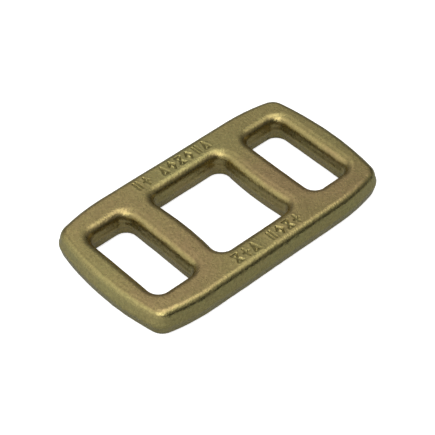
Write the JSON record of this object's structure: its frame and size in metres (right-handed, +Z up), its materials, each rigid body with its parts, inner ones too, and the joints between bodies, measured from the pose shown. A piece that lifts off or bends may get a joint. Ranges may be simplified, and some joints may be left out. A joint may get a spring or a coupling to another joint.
{
  "type": "one-way lashing buckle",
  "caption": "Forged steel ladder buckle for woven lashing webbing: rounded rectangular frame with a middle opening and a webbing slot at each end.",
  "frame": {"origin": "centre of the underside, where the buckle rests", "axes": "+X along the webbing, which is the longest side; +Y across the webbing; +Z up through the thickness, towards the face with the struck marks"},
  "size_m": [0.1128, 0.0624, 0.0115],
  "materials": {
    "yellow_zinc_steel": "drop-forged steel, zinc plated and yellow passivated, satin with a fine forged grain"
  },
  "bodies": {
    "root": {"buckle_frame": "yellow_zinc_steel"}
  },
  "joints": []
}
